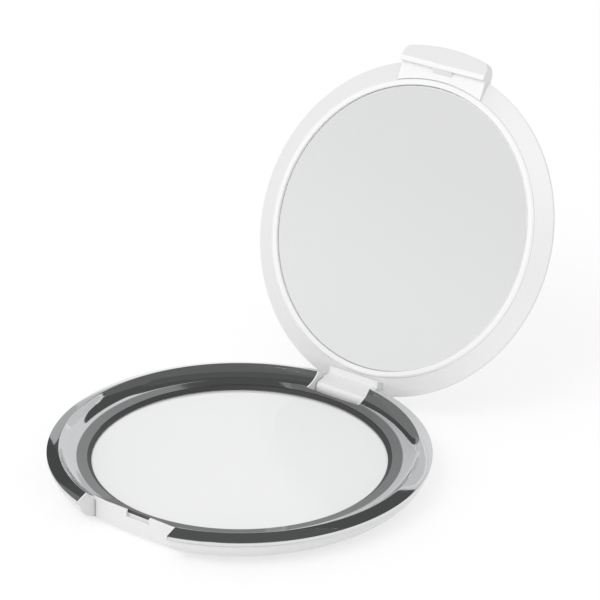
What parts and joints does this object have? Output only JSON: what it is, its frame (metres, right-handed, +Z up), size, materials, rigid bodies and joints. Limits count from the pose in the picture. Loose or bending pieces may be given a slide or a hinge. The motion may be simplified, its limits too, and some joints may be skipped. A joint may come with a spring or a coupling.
{
  "type": "compact mirror",
  "caption": "Round white pocket mirror that stands open on a hinge, with a bright ring round the base glass, a glass in the lid and a snap tab at the front.",
  "frame": {"origin": "centre of the base's flat underside", "axes": "+Z up from the surface it stands on, +Y from the latch at the front to the hinge at the back, +X along the hinge to the right"},
  "size_m": [0.07, 0.0993, 0.0635],
  "materials": {
    "white_plastic": "smooth moulded white with a soft gloss",
    "chrome_trim": "bright chrome plating",
    "mirror_glass": "silvered glass",
    "adhesive_tape": "matt foam tape",
    "pin_steel": "drawn steel rod"
  },
  "bodies": {
    "base": {"base_shell": "white_plastic", "base_trim_ring": "chrome_trim", "base_mirror": "mirror_glass", "base_mirror_tape": "adhesive_tape", "hinge_pin": "pin_steel"},
    "lid": {"lid_shell": "white_plastic", "lid_trim_ring": "white_plastic", "lid_mirror": "mirror_glass", "lid_mirror_tape": "adhesive_tape"}
  },
  "joints": [
    {"name": "lid_hinge", "type": "hinge", "parent": "base", "child": "lid", "pos_m": [0, 0.03305, 0.00325], "axis": [1, 0, 0], "range_deg": [0, 116]}
  ]
}
